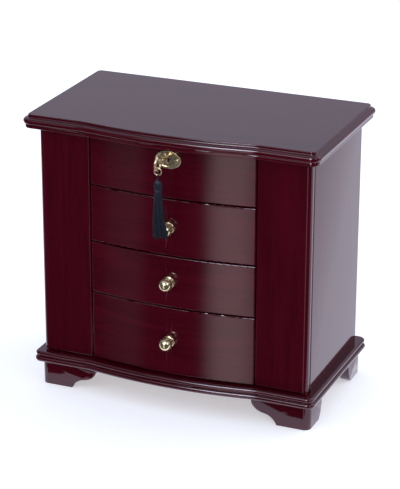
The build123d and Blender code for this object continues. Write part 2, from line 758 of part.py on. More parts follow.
def door_pieces():
    """Two swing-out side doors with their pivot plates and catch strikes."""
    door = block(door_inner, half, front_y, front_y + front_thick, door_bottom, door_top)
    hinge_edge = door.edges().filter_by(Axis.Z).sort_by(lambda e: e.center().X + e.center().Y)[-1]
    door = fillet(hinge_edge, pivot_inset)
    outer_edge = door.edges().filter_by(Axis.Z).sort_by(lambda e: e.center().X - e.center().Y)[-1]
    door = fillet(outer_edge, door_outer_round)
    face = door.faces().sort_by(Axis.Y)[0]
    door = fillet([edge for edge in face.edges() if edge.center().X < half - door_outer_round - 0.1], eased_edge)
    plates = [
        pivot_plate(door_top - pivot_plate_thick, door_top),
        pivot_plate(door_bottom, door_bottom + pivot_plate_thick),
    ]
    seats = [
        pivot_plate(door_top - pivot_plate_thick, door_top, running_gap),
        pivot_plate(door_bottom, door_bottom + pivot_plate_thick, running_gap),
    ]
    x0 = door_inner + 0.8
    z = (door_bottom + door_top) / 2
    rear = front_y + front_thick
    strike = block(
        x0, x0 + catch_width, rear - strike_thick, rear, z - catch_height / 2, z + catch_height / 2
    )
    door = door - seats[0] - seats[1] - strike
    for pin in pivot_pins(running_gap):
        door -= pin
        plates = [plate - pin for plate in plates]
    save("door_right", door)
    save("door_left", mirrored(door))
    save("door_right_pivot_plates", *plates)
    save("door_left_pivot_plates", *[mirrored(plate) for plate in plates])
    save("door_right_strike", strike)
    save("door_left_strike", mirrored(strike))


# ---------------------------------------------------------------- fittings inside


def inside_pieces():
    """Ring rolls, tray boards, necklace pegs and velvet pads."""
    pitch = 2 * roll_r + roll_gap
    depth = inner_back - carcass_y
    span = roll_count * pitch - roll_gap
    start = carcass_y + (depth - span) / 2 + roll_r
    x0 = -bay_half + 2.0
    x1 = -tray_board / 2 - 1.0
    rolls = []
    for index in range(roll_count):
        y = start + index * pitch
        round_top = rod_x(x0, x1, y, floor_top + roll_r, roll_r)
        foot = block(x0, x1, y - roll_r + 0.6, y + roll_r - 0.6, floor_top, floor_top + roll_r)
        trough = block(x0 - 1, x1 + 1, y - roll_r - 1, y + roll_r + 1, floor_top - 1, floor_top + 0.3)
        rolls.append((round_top + foot) - trough)
    save("ring_rolls", *rolls)

    half_board = tray_board / 2
    spine = block(-half_board, half_board, carcass_y, inner_back, floor_top, floor_top + tray_height)
    middle = (carcass_y + inner_back) / 2
    cross = block(half_board, bay_half, middle - half_board, middle + half_board, floor_top, floor_top + tray_height)
    save("tray_boards", spine + cross)

    pegs = []
    z = board_top - peg_below_top
    for x in peg_places():
        peg = rod_y(x, z, inner_back - peg_length, inner_back + peg_seat - 0.1, peg_r)
        peg += Pos(x, inner_back - peg_length, z) * Sphere(peg_ball_r)
        pegs += both(peg)
    save("necklace_pegs", *pegs)

    pad = block(
        partition_out + lining_clear, inner_side - lining_clear, carcass_y + 1.0, inner_back - lining_clear,
        base_top, base_top + drawer_lining_thick,
    )
    save("side_linings", *both(pad))


lid_pieces()
hinge_pieces()
case_pieces()
foot_pieces()
rail_pieces()
key_pieces()
drawer_pieces(1, seam_12 + seam_gap / 2, seam_top - seam_gap / 2, seam_12 + divider_thick / 2, floor_bottom)
drawer_pieces(
    2, seam_23 + seam_gap / 2, seam_12 - seam_gap / 2, seam_23 + divider_thick / 2, seam_12 - divider_thick / 2
)
drawer_pieces(3, door_bottom, seam_23 - seam_gap / 2, base_top, seam_23 - divider_thick / 2)
door_pieces()
inside_pieces()
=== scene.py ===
# %% [markdown]
# # A lacquered jewellery chest
# The boards, brassware and lock of this chest come from a CAD frame that is already in place. This
# lesson gives every part its finish, and makes what CAD can't: the threads of the tassel, the velvet
# pads and rolls, and the slotted screws. The first cell loads the frame, and the last one measures its
# overall box.

# %% Load the frame
import json
import math

import bmesh
import bpy
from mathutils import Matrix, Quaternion, Vector


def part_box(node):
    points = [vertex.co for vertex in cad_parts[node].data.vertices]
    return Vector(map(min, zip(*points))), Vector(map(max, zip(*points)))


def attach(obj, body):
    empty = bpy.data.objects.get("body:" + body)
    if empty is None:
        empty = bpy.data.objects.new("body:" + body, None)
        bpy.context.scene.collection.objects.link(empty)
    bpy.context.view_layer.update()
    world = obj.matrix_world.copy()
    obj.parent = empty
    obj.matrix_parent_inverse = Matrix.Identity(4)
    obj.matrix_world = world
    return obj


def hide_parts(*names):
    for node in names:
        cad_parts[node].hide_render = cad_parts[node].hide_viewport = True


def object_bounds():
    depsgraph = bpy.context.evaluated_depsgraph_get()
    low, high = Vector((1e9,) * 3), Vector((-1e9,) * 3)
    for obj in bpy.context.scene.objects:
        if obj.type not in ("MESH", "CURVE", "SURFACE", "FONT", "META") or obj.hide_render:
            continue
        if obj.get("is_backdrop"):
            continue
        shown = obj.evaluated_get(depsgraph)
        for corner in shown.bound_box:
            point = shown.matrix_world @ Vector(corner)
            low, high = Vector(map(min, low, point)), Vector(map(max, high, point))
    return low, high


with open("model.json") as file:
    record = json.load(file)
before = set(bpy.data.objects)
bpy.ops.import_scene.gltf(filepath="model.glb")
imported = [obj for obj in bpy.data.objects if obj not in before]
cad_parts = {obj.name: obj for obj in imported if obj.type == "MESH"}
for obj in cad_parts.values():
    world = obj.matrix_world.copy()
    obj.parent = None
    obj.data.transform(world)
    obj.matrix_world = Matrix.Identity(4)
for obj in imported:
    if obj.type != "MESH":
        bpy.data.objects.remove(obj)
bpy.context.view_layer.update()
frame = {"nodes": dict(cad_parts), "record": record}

nodes = frame["nodes"]

# %% [markdown]
# ## Node graphs written as Python
# Finishes and repeated pieces are both node graphs. Wiring them by hand is slow to read, so a Wire
# wraps one output socket and lets it take part in ordinary sums: `1 - mask * 0.4` adds the Math
# nodes. Every other node comes from one method, which sets its settings before its sockets.


# %% Wire and Graph
class Wire:
    """An output socket that can be added, multiplied and stepped like a number."""

    def __init__(self, graph, socket):
        self.graph = graph
        self.socket = socket

    def maths(self, operation, first, second=0.0):
        return self.graph.node("ShaderNodeMath", {"operation": operation}, {0: first, 1: second})

    def __add__(self, other):
        return self.maths("ADD", self, other)

    def __radd__(self, other):
        return self.maths("ADD", other, self)

    def __sub__(self, other):
        return self.maths("SUBTRACT", self, other)

    def __rsub__(self, other):
        return self.maths("SUBTRACT", other, self)

    def __mul__(self, other):
        return self.maths("MULTIPLY", self, other)

    def __rmul__(self, other):
        return self.maths("MULTIPLY", other, self)

    def __truediv__(self, other):
        return self.maths("DIVIDE", self, other)

    def __pow__(self, other):
        return self.maths("POWER", self, other)

    def __neg__(self):
        return self.maths("MULTIPLY", self, -1.0)

    def between(self, low, high):
        """0 below low, 1 above high, and a smooth step between them."""
        settings = {"interpolation_type": "SMOOTHSTEP"}
        return self.graph.node("ShaderNodeMapRange", settings, {"Value": self, 1: low, 2: high})

    def sine(self):
        return self.maths("SINE", self)

    def cosine(self):
        return self.maths("COSINE", self)


class Graph:
    """A shader or geometry tree that nodes are added to."""

    def __init__(self, tree):
        self.tree = tree

    def plug(self, socket, value):
        if isinstance(value, Wire):
            self.tree.links.new(value.socket, socket)
        elif isinstance(value, bpy.types.NodeSocket):
            self.tree.links.new(value, socket)
        else:
            socket.default_value = value

    def node(self, kind, settings=None, inputs=None, output=0):
        """New node. The setting called points holds the places of a curve."""
        made = self.tree.nodes.new(kind)
        for key, value in (settings or {}).items():
            if key == "points":
                curve = made.mapping.curves[0]
                while len(curve.points) < len(value):
                    curve.points.new(0.5, 0.5)
                for point, place in zip(curve.points, value):
                    point.location = place
                made.mapping.update()
            else:
                setattr(made, key, value)
        for key, value in (inputs or {}).items():
            self.plug(made.inputs[key], value)
        return Wire(self, made.outputs[output])

    def blend(self, share, first, second):
        """Mix of two colours."""
        settings = {"data_type": "RGBA"}
        return self.node("ShaderNodeMix", settings, {0: share, 6: first, 7: second}, output=2)


class Finish(Graph):
    """A material with one Principled shader. Constant values go straight to its sockets."""

    def __init__(self, name, **constants):
        self.material = bpy.data.materials.new(name)
        self.material.use_nodes = True
        super().__init__(self.material.node_tree)
        self.tree.nodes.clear()
        out = self.tree.nodes.new("ShaderNodeOutputMaterial")
        self.shader = self.tree.nodes.new("ShaderNodeBsdfPrincipled")
        self.tree.links.new(self.shader.outputs[0], out.inputs[0])
        for key, value in constants.items():
            self.shader.inputs[key.replace("_", " ")].default_value = value

    def feed(self, name, value):
        self.plug(self.shader.inputs[name], value)

    def noise(self, scale, stretch=(1.0, 1.0, 1.0), detail=2.0, roughness=0.5, distortion=0.0):
        """Noise over the piece's own coordinates. A low stretch draws it out along that axis."""
        spot = self.node("ShaderNodeTexCoord", output="Object")
        where = self.node("ShaderNodeMapping", None, {0: spot, 3: [scale * s for s in stretch]})
        inputs = {
            "Vector": where, "Scale": 1.0, "Detail": detail, "Roughness": roughness,
            "Distortion": distortion,
        }
        return self.node("ShaderNodeTexNoise", None, inputs)

    def relief(self, height, depth, strength):
        """Bump under the surface, depth in metres."""
        inputs = {"Strength": strength, "Distance": depth, "Height": height}
        self.feed("Normal", self.node("ShaderNodeBump", None, inputs))


print("graph helpers ready")

# %% [markdown]
# ## Lacquered mahogany
# The chest is stained a deep burgundy and sprayed with clear gloss. Three things make it read as wood
# under lacquer: broad ribbons of tone along the board, fine dark pores drawn out the same way, and a
# smooth coat over both. The pores dent only the wood, so the coat's reflection stays clean.

# %% Lacquer
GRAINS = {"X": (1.0, 14.0, 14.0), "Y": (14.0, 1.0, 14.0), "Z": (14.0, 14.0, 1.0)}
RIBBON_SCALE = 5.0
STREAK_SCALE = 22.0
PORE_SCALE = 60.0
PORE_SHARE = 0.3
PORE_DEPTH = 0.00006


def lacquer(name, along, deep, light, coat=1.0, coat_roughness=0.09):
    """Stained wood under a clear coat, with its grain drawn out along one axis."""
    finish = Finish(
        name, Coat_Weight=coat, Coat_Roughness=coat_roughness, IOR=1.45, Specular_IOR_Level=0.0,
    )
    ribbon = finish.noise(RIBBON_SCALE, GRAINS[along], detail=3.0, distortion=0.9)
    streak = finish.noise(STREAK_SCALE, GRAINS[along], detail=4.0, roughness=0.65)
    pore = finish.noise(PORE_SCALE, GRAINS[along], detail=2.0)
    tone = ribbon.between(0.3, 0.72) * 0.65 + streak.between(0.3, 0.75) * 0.35
    pores = pore.between(0.6, 0.7)
    pore_colour = [0.5 * v for v in deep[:3]] + [1.0]
    colour = finish.blend(tone, deep, light)
    finish.feed("Base Color", finish.blend(pores * PORE_SHARE, colour, pore_colour))
    finish.feed("Roughness", 0.42 + 0.12 * streak)
    finish.relief(1 - pores, PORE_DEPTH, 0.5)
    return finish.material


BURGUNDY = (0.039, 0.0008, 0.0042, 1.0)
BURGUNDY_LIGHT = (0.062, 0.0016, 0.0072, 1.0)
mahogany_x = lacquer("mahogany_along", "X", BURGUNDY, BURGUNDY_LIGHT)
mahogany_z = lacquer("mahogany_upright", "Z", BURGUNDY, BURGUNDY_LIGHT)
mahogany_y = lacquer("mahogany_across", "Y", BURGUNDY, BURGUNDY_LIGHT)
print("lacquer", [m.name for m in bpy.data.materials if m.name.startswith("mahogany")])

# %% [markdown]
# ## Stained wood inside
# Inside, the boards are stained but only sealed, so the grain is plainer and the sheen is satin.

# %% Satin wood
SATIN_DEEP = (0.10, 0.016, 0.012, 1.0)
SATIN_LIGHT = (0.20, 0.045, 0.028, 1.0)
satin_x = lacquer("satin_along", "X", SATIN_DEEP, SATIN_LIGHT, coat=0.25, coat_roughness=0.35)
satin_y = lacquer("satin_across", "Y", SATIN_DEEP, SATIN_LIGHT, coat=0.25, coat_roughness=0.35)
print("satin ready")

# %% [markdown]
# ## Metals
# Polished brass is nearly a mirror with a warm tint; faint handling marks vary its roughness. Steel is
# brushed along one direction, which stretched noise imitates. The brass stays a little short of fully
# metallic, which keeps it pale where the room it mirrors is dark.

# %% Brass, steel and mirror
EVEN = (1, 1, 1)
BRUSHED = (1, 1, 20)


def metal(name, clean, dull, roughness, scale, stretch=EVEN, metallic=1.0):
    """Metal that drifts from clean to dull patches, and from low to high roughness."""
    low, high = roughness
    finish = Finish(name, Metallic=metallic)
    wear = finish.noise(scale, stretch, detail=4.0, roughness=0.6)
    finish.feed("Roughness", low + (high - low) * wear.between(0.35, 0.7))
    finish.feed("Base Color", finish.blend(wear.between(0.45, 0.8) * 0.35, clean, dull))
    finish.relief(wear, 0.00002, 0.15)
    return finish.material


brass = metal(
    "polished_brass", (0.92, 0.76, 0.46, 1.0), (0.74, 0.58, 0.32, 1.0), (0.12, 0.26), 180.0, metallic=0.92,
)
steel = metal(
    "brushed_steel", (0.55, 0.55, 0.57, 1.0), (0.38, 0.38, 0.4, 1.0), (0.28, 0.45), 60.0, BRUSHED,
)
nickel = metal("magnet_nickel", (0.4, 0.4, 0.42, 1.0), (0.3, 0.3, 0.32, 1.0), (0.3, 0.42), 90.0)
silver = metal("mirror_silver", (0.93, 0.94, 0.95, 1.0), (0.9, 0.91, 0.92, 1.0), (0.012, 0.03), 12.0)
print("metals ready")

# %% [markdown]
# ## Velvet and thread
# Velvet is a short pile: brushed patches lean different ways and look lighter or darker, and the edge
# of every fold glows, which the sheen gives. The tassel is dark blue-black rayon thread; each thread
# carries a small number of its own, so that neighbours differ a little.


# %% Fabric finishes
def velvet_cloth(name, deep, light):
    finish = Finish(
        name, Roughness=0.85, Sheen_Weight=0.6, Sheen_Roughness=0.35, Sheen_Tint=(1.0, 0.93, 0.86, 1.0),
        Specular_IOR_Level=0.15,
    )
    brushed = finish.noise(26.0, detail=3.0, distortion=1.2)
    pile = finish.noise(2200.0, detail=1.0)
    tone = brushed.between(0.35, 0.68) * 0.7 + pile * 0.3
    finish.feed("Base Color", finish.blend(tone, deep, light))
    finish.relief(pile, 0.00025, 0.5)
    return finish.material


def thread_cloth(name, deep, light):
    finish = Finish(name, Roughness=0.5, Sheen_Weight=0.06, Specular_IOR_Level=0.4)
    own = finish.node("ShaderNodeAttribute", {"attribute_name": "thread_tone"}, output="Fac")
    fibre = finish.noise(20.0, (45.0, 45.0, 8.0), detail=3.0)
    finish.feed("Base Color", finish.blend(own * 0.6 + fibre * 0.4, deep, light))
    finish.relief(fibre, 0.00008, 0.5)
    return finish.material


velvet = velvet_cloth("champagne_velvet", (0.3, 0.21, 0.14, 1.0), (0.52, 0.4, 0.29, 1.0))
thread = thread_cloth("rayon_thread", (0.0015, 0.0025, 0.0055, 1.0), (0.012, 0.018, 0.032, 1.0))
print("fabrics ready")

# %% [markdown]
# ## Finishing the frame's own parts
# Each CAD part keeps its shape and takes the finish that suits its slot and its grain direction.

# %% Assign finishes
ALONG_X = ("lid_board", "front_rail", "base_board", "mirror_frame")
ALONG_Y = ("top_board_left", "top_board_right")
SLOT_FINISH = {
    "brass": brass, "steel": steel, "magnet": nickel, "velvet": velvet, "dark_thread": thread,
    "mirror_glass": silver,
}
slot_of = {part["node"]: part["material_slot"] for part in frame["record"]["subparts"]}


def finish_for(name):
    slot = slot_of[name]
    if slot in SLOT_FINISH:
        return SLOT_FINISH[slot]
    if slot == "stained_wood":
        return satin_y if "partition" in name or "walls" in name else satin_x
    if name in ALONG_Y:
        return mahogany_y
    if name in ALONG_X or name.startswith("foot") or name.endswith("_front"):
        return mahogany_x
    return mahogany_z


def dress(piece, material):
    piece.data.materials.clear()
    piece.data.materials.append(material)


for name, part in nodes.items():
    if part.type == "MESH":
        dress(part, finish_for(name))
print("dressed", len(nodes))

# %% [markdown]
# ## Smooth parts
# The CAD parts arrive as loose triangles, and a gloss coat shows every facet of a bowed front. Each
# part that nothing else replaces is copied, its doubles are merged, and its shading is smoothed where
# two faces meet at less than a set angle, so the arrises stay crisp. The fronts, the rail and the
# moulded edges of lid and base follow one bow. Their points at one distance from its axis and at one
# height also share one normal, so that a reflection runs along the bow as one sweep.


# %% New objects and their bodies
def put_in_scene(name, data):
    piece = bpy.data.objects.new(name, data)
    bpy.context.scene.collection.objects.link(piece)
    return piece


def body_of_node(name):
    for body, parts in frame["record"]["behaviour"]["bodies"].items():
        if name in parts:
            return body
    return "case"


# %% The bow
BOWED = ("front_rail", "drawer_1_front", "drawer_2_front", "drawer_3_front", "lid_board", "base_board")
INSIDE_BOW = 0.002
FRONT_ONLY = -0.04
SIDEWAYS = 0.12
FACING = 0.5
SAME_WAY = 0.8
FEWEST = 6


def bow_arc():
    """Centre Y and radius of the arc that the middle drawer front follows."""
    low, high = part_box("drawer_2_front")
    points = [vert.co for vert in nodes["drawer_2_front"].data.vertices]
    end = min((p for p in points if p.x > high.x - 0.00002), key=lambda p: p.y)
    edge = [p for p in points if abs(p.y - end.y) < 0.004 and p.x > 0.04 and p.z > low.z + 0.002]
    corner = min(edge, key=lambda p: p.y)
    depth = corner.y - low.y
    radius = (corner.x ** 2 + depth ** 2) / (2 * depth)
    return low.y + radius, radius


def follow_bow(mesh, fans, bow):
    """Gives the fans at one radius and height of the bow one normal, turned about its axis."""
    centre_y, radius = bow
    shared = {}
    for fan in fans:
        vert, normal, _ = fan
        co = mesh.vertices[vert].co
        out = Vector((co.x, co.y - centre_y, 0.0))
        reach = out.length
        out.normalize()
        along = Vector((-out.y, out.x, 0.0))
        if reach < radius - INSIDE_BOW or co.y > FRONT_ONLY or abs(normal.dot(along)) > SIDEWAYS:
            continue
        flat = Vector((normal.dot(out), normal.z))
        if flat.length < FACING:
            continue
        alike = shared.setdefault((round(reach, 5), round(co.z, 5)), [])
        for same in alike:
            if same[0].normalized().dot(flat.normalized()) > SAME_WAY:
                same[0] += flat
                same[1].append((fan, out))
                break
        else:
            alike.append([flat.copy(), [(fan, out)]])
    for alike in shared.values():
        for flat, members in alike:
            if len(members) < FEWEST:
                continue
            flat.normalize()
            for fan, out in members:
                fan[1] = (out * flat.x + Vector((0.0, 0.0, flat.y))).normalized()


bow = bow_arc()
print("bow centre and radius", [round(v, 5) for v in bow])


# %% Normals
def merge_two(groups, touching):
    """Joins the first two groups that touch, and says whether any did."""
    for i, first in enumerate(groups):
        for j in range(i + 1, len(groups)):
            if any(touching(one, two) for one, _ in first for two, _ in groups[j]):
                first += groups.pop(j)
                return True
    return False


def fans_round(vert, users, edges_of, sharp):
    """Splits the face corners at a point into fans with no sharp edge inside."""
    def touching(one, two):
        return any(vert in key and key not in sharp for key in edges_of[one] & edges_of[two])

    groups = [[user] for user in users]
    while merge_two(groups, touching):
        pass
    return groups


def even_normals(mesh, bow):
    """Custom normals: large faces win at each soft edge, and the bow reflects as one sweep."""
    mesh.update()
    faces = mesh.polygons
    sharp = {tuple(edge.vertices) for edge in mesh.edges if edge.use_edge_sharp}
    edges_of = [set(face.edge_keys) for face in faces]
    around = {}
    for face in faces:
        for loop in face.loop_indices:
            around.setdefault(mesh.loops[loop].vertex_index, []).append((face.index, loop))
    fans = []
    for vert, users in around.items():
        for group in fans_round(vert, users, edges_of, sharp):
            total = Vector()
            for index, _ in group:
                total += faces[index].normal * faces[index].area
            total.normalize()
            fans.append([vert, total, group])
    if bow is not None:
        follow_bow(mesh, fans, bow)
    corner = [Vector((0, 0, 1))] * len(mesh.loops)
    for _, total, group in fans:
        for _, loop in group:
            corner[loop] = total
    mesh.normals_split_custom_set(corner)


# %% Copy, merge and smooth
SOFT_ANGLE = math.radians(32.0)
MERGE_WITHIN = 0.000002


def smooth_copy(name):
    """Replaces a CAD part with a copy whose shading is smooth between its arrises."""
    mesh = nodes[name].data.copy()
    mesh.name = f"{name}_finished"
    work = bmesh.new()
    work.from_mesh(mesh)
    bmesh.ops.remove_doubles(work, verts=work.verts, dist=MERGE_WITHIN)
    for face in work.faces:
        face.smooth = True
    for edge in work.edges:
        edge.smooth = len(edge.link_faces) == 2 and edge.calc_face_angle(0.0) < SOFT_ANGLE
    work.to_mesh(mesh)
    work.free()
    even_normals(mesh, bow if name in BOWED else None)
    copy = put_in_scene(f"{name}_finished", mesh)
    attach(copy, body_of_node(name))
    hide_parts(name)


# %% [markdown]
# ## Padded velvet
# The drawers and side compartments are lined with foam under velvet. A thin pad's edge rolls under, its
# sides pull in a little between the corners, and its face swells. A grid of points shaped by those
# three rules gives the top, and its underside stays flat where it rests.


# %% Skins of points
def band(work, near, far):
    """Faces between two rings of points."""
    count = len(near)
    for i in range(count):
        j = (i + 1) % count
        work.faces.new((near[i], near[j], far[j], far[i]))


def made_piece(name, work, material):
    """Turns finished bmesh work into an object with one material."""
    mesh = bpy.data.meshes.new(name)
    work.to_mesh(mesh)
    work.free()
    mesh.materials.append(material)
    return put_in_scene(name, mesh)


def grid_mesh(name, rings, material):
    """Closed skin over rings of points: each ring joins to the next, and the end rings are filled."""
    work = bmesh.new()
    made = [[work.verts.new(p) for p in ring] for ring in rings]
    for near, far in zip(made, made[1:]):
        band(work, near, far)
    work.faces.new(list(reversed(made[0])))
    work.faces.new(made[-1])
    bmesh.ops.recalc_face_normals(work, faces=work.faces)
    for face in work.faces:
        face.smooth = True
    return made_piece(name, work, material)


def join_pieces(name, parts):
    """One mesh from several, all at the origin."""
    work = bmesh.new()
    for part in parts:
        work.from_mesh(part.data)
    piece = made_piece(name, work, parts[0].data.materials[0])
    for part in parts:
        old = part.data
        bpy.data.objects.remove(part)
        bpy.data.meshes.remove(old)
    return piece


# %% Pads
COLUMNS = 60
ROWS = 48
PULL = 0.0012
CROWN = 0.0011
RIM = 0.0016
EDGE_SHARE = 0.34
FACE_SHARE = 0.66
CHANNEL_DEPTH = 0.0009
CHANNEL_WIDTH = 0.0017


def pad_point(low, high, u, v, channels):
    """Point on a pad's face, where U and V run from -1 to 1 across it."""
    span = high - low
    x = (low.x + high.x) / 2 + u * (span.x / 2 - PULL * (1 - v * v))
    y = (low.y + high.y) / 2 + v * (span.y / 2 - PULL * (1 - u * u))
    edge = min((1 - abs(u)) * span.x / 2, (1 - abs(v)) * span.y / 2)
    roll = math.sqrt(max(0.0, 1 - (1 - min(edge / RIM, 1)) ** 2))
    swell = 1 - CROWN / span.z * (1 - (1 - u ** 4) * (1 - v ** 4))
    z = low.z + span.z * (EDGE_SHARE + FACE_SHARE * roll) * swell
    for count, place, width in ((channels[0], u, span.x), (channels[1], v, span.y)):
        for k in range(1, count + 1):
            gap = abs(place - (2 * k / (count + 1) - 1)) * width / 2
            z -= CHANNEL_DEPTH * math.exp(-((gap / CHANNEL_WIDTH) ** 2)) * roll
    return x, y, z


def pad(name, low, high, channels):
    """Flat-bottomed pad that fills the box from low to high, with pressed channels each way."""
    work = bmesh.new()
    top = []
    for j in range(ROWS + 1):
        v = j / ROWS * 2 - 1
        spots = [pad_point(low, high, i / COLUMNS * 2 - 1, v, channels) for i in range(COLUMNS + 1)]
        top.append([work.verts.new(spot) for spot in spots])
    for near, far in zip(top, top[1:]):
        for i in range(COLUMNS):
            work.faces.new((near[i], near[i + 1], far[i + 1], far[i]))
    ring = top[0][:-1] + [row[-1] for row in top[:-1]] + top[-1][:0:-1] + [row[0] for row in top[:0:-1]]
    under = [work.verts.new((vert.co.x, vert.co.y, low.z)) for vert in ring]
    band(work, under, ring)
    work.faces.new(list(reversed(under)))
    for face in work.faces:
        face.smooth = len(face.verts) == 4
    bmesh.ops.recalc_face_normals(work, faces=work.faces)
    return made_piece(name, work, velvet)


for number in (1, 2, 3):
    low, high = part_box(f"drawer_{number}_lining")
    cushion = pad(f"drawer_{number}_velvet", low, high, channels=(3, 2))
    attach(cushion, f"drawer_{number}")
    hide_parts(f"drawer_{number}_lining")

low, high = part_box("side_linings")
SIDE_GAP = 0.0004
inner_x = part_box("partition_right")[1].x + SIDE_GAP
pads = []
for sign in (-1, 1):
    xs = sorted((sign * inner_x, sign * high.x))
    corner_low = Vector((xs[0], low.y, low.z))
    corner_high = Vector((xs[1], high.y, high.z))
    pads.append(pad("side_velvet_part", corner_low, corner_high, channels=(0, 2)))
side_velvet = join_pieces("side_velvet", pads)
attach(side_velvet, "case")
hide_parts("side_linings")
print("pads made")

# %% [markdown]
# ## Ring rolls
# The left half of the top compartment holds rings between fat velvet rolls. They repeat at one pitch,
# so Geometry Nodes lays them out from one roll. The roll is a soft bar with a flat foot and ends that
# close like the end of a bolster.


# %% Geometry Nodes helpers
def tree_for(name, sizes):
    """Geometry tree with named number inputs. Gives the graph, its input wires and its output node."""
    tree = bpy.data.node_groups.new(name, "GeometryNodeTree")
    tree.interface.new_socket("Geometry", in_out="INPUT", socket_type="NodeSocketGeometry")
    kinds = {int: "NodeSocketInt", float: "NodeSocketFloat"}
    for label, value in sizes.items():
        socket = tree.interface.new_socket(label, in_out="INPUT", socket_type=kinds[type(value)])
        socket.default_value = value
    tree.interface.new_socket("Geometry", in_out="OUTPUT", socket_type="NodeSocketGeometry")
    graph = Graph(tree)
    entry = tree.nodes.new("NodeGroupInput")
    leave = tree.nodes.new("NodeGroupOutput")
    wires = {label: Wire(graph, entry.outputs[label]) for label in ["Geometry", *sizes]}
    return graph, wires, leave


def grow(name, graph, sizes, seed_mesh):
    """Runs the tree on a mesh and gives the result as a plain mesh object."""
    host = put_in_scene(f"{name}_host", seed_mesh)
    modifier = host.modifiers.new(name, "NODES")
    modifier.node_group = graph.tree
    for item in graph.tree.interface.items_tree:
        if item.in_out == "INPUT" and item.name in sizes:
            modifier[item.identifier] = sizes[item.name]
    bpy.context.view_layer.update()
    shaped = host.evaluated_get(bpy.context.evaluated_depsgraph_get())
    mesh = bpy.data.meshes.new_from_object(shaped)
    mesh.name = name
    piece = put_in_scene(name, mesh)
    host.modifiers.remove(modifier)
    bpy.data.objects.remove(host)
    print(name, "faces", len(mesh.polygons))
    return piece


def seed_points(name, places):
    mesh = bpy.data.meshes.new(name)
    mesh.from_pydata([tuple(p) for p in places], [], [])
    return mesh


def random_number(graph, high, seed):
    """Number from 0 to high, another one for each point."""
    inputs = {2: 0.0, 3: high, "Seed": seed}
    return graph.node("FunctionNodeRandomValue", {"data_type": "FLOAT"}, inputs, output=1)


def close_tree(graph, leave, shape, material):
    """Last nodes of a tree: instances become mesh, and the mesh takes its material."""
    shape = graph.node("GeometryNodeRealizeInstances", None, {0: shape})
    shape = graph.node("GeometryNodeSetMaterial", None, {0: shape, "Material": material})
    graph.plug(leave.inputs[0], shape)


# %% One roll
STATIONS = 28
ROLL_SIDES = 24
END_LENGTH = 0.005
END_GIRTH = 0.55
ADDED_GIRTH = 0.45
BREADTH = 0.985
roll_low, roll_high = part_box("ring_rolls")
roll_r = (roll_high.z - roll_low.z) / 2
roll_length = roll_high.x - roll_low.x
first_y = roll_low.y + roll_r + 0.0001
rings = []
for step in range(STATIONS + 1):
    share = step / STATIONS
    x = roll_low.x + roll_length * share
    from_end = min(share, 1 - share) * roll_length
    close = math.sqrt(max(0.0, 1 - (1 - min(from_end / END_LENGTH, 1)) ** 2))
    girth = END_GIRTH + ADDED_GIRTH * close
    pucker = min(1 + 0.012 * math.sin(step * 1.9) + 0.008 * math.sin(step * 4.3), 1.0)
    ring = []
    for k in range(ROLL_SIDES):
        angle = 2 * math.pi * k / ROLL_SIDES
        y = first_y + math.cos(angle) * roll_r * BREADTH * girth
        z = roll_low.z + roll_r + math.sin(angle) * roll_r * girth * pucker
        ring.append((x, y, max(z, roll_low.z)))
    rings.append(ring)
roll = grid_mesh("ring_roll", rings, velvet)

# %% Rolls at one pitch
ROLLS = {"Count": 7, "Pitch": 0.0135}
graph, wires, leave = tree_for("laid_rolls", ROLLS)
step_y = graph.node("ShaderNodeCombineXYZ", None, {1: wires["Pitch"]})
line = graph.node("GeometryNodeMeshLine", None, {"Count": wires["Count"], "Offset": step_y})
laid = graph.node("GeometryNodeInstanceOnPoints", None, {"Points": line, "Instance": wires["Geometry"]})
close_tree(graph, leave, laid, velvet)
rolls = grow("ring_rolls_velvet", graph, ROLLS, roll.data)
bpy.data.objects.remove(roll)
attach(rolls, "case")
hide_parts("ring_rolls")

# %% [markdown]
# ## Slotted screws
# The hinge leaves are held by small brass screws. One screw is lathed with a domed head and a slot cut
# across it, and Geometry Nodes sets it at every place, turned by a random angle, because real screws
# never stop with their slots in line.


# %% One screw
CORE_R = 0.00068
CREST_R = 0.00085
TIP_R = 0.0002
TIP = 0.0015
FIRST_TURN = 0.0017
UNTHREADED = 0.0032
SCREW_TURNS = 9
SCREW_SIDES = 16
HEAD = [
    (0.0009, -0.00115), (0.00185, -0.0002), (0.0019, -0.00004), (0.0012, 0.00012), (0.0002, 0.00018),
    (0.0, 0.0002),
]
SLOT_CUT = (0.0045, 0.00042, 0.0008)
SLOT_LIFT = 0.0001


def lathe(name, profile, sides, material):
    """Closed turned shape about Z from radius, height pairs that start and end on the axis."""
    rings = []
    for radius, z in profile[1:-1]:
        angles = [2 * math.pi * k / sides for k in range(sides)]
        rings.append([(radius * math.cos(a), radius * math.sin(a), z) for a in angles])
    return grid_mesh(name, rings, material)


def slotted_screw(length):
    """Mesh of a screw that points down, with its head's rim at Z = 0."""
    shank = [(0.0, -length), (TIP_R, -length), (CREST_R, -length + TIP)]
    last = SCREW_TURNS * 2 - 1
    for k in range(last + 1):
        radius = CREST_R if k % 2 else CORE_R
        shank.append((radius, -length + FIRST_TURN + k / last * (length - UNTHREADED)))
    body = lathe("screw_body", shank + HEAD, SCREW_SIDES, brass)
    work = bmesh.new()
    bmesh.ops.create_cube(work, size=1.0)
    bmesh.ops.scale(work, vec=SLOT_CUT, verts=work.verts)
    bmesh.ops.translate(work, vec=(0, 0, SLOT_LIFT), verts=work.verts)
    cutter = made_piece("slot_cutter", work, brass)
    cut = body.modifiers.new("slot", "BOOLEAN")
    cut.operation = "DIFFERENCE"
    cut.object = cutter
    bpy.context.view_layer.update()
    mesh = bpy.data.meshes.new_from_object(body.evaluated_get(bpy.context.evaluated_depsgraph_get()))
    for spare in (body, cutter):
        bpy.data.objects.remove(spare)
    for face in mesh.polygons:
        face.use_smooth = face.normal.z < 0.5
    return mesh


# %% Screws in place
SCREWS_APART = 0.006
SHORTER = 0.0002
SUNK = 0.0001


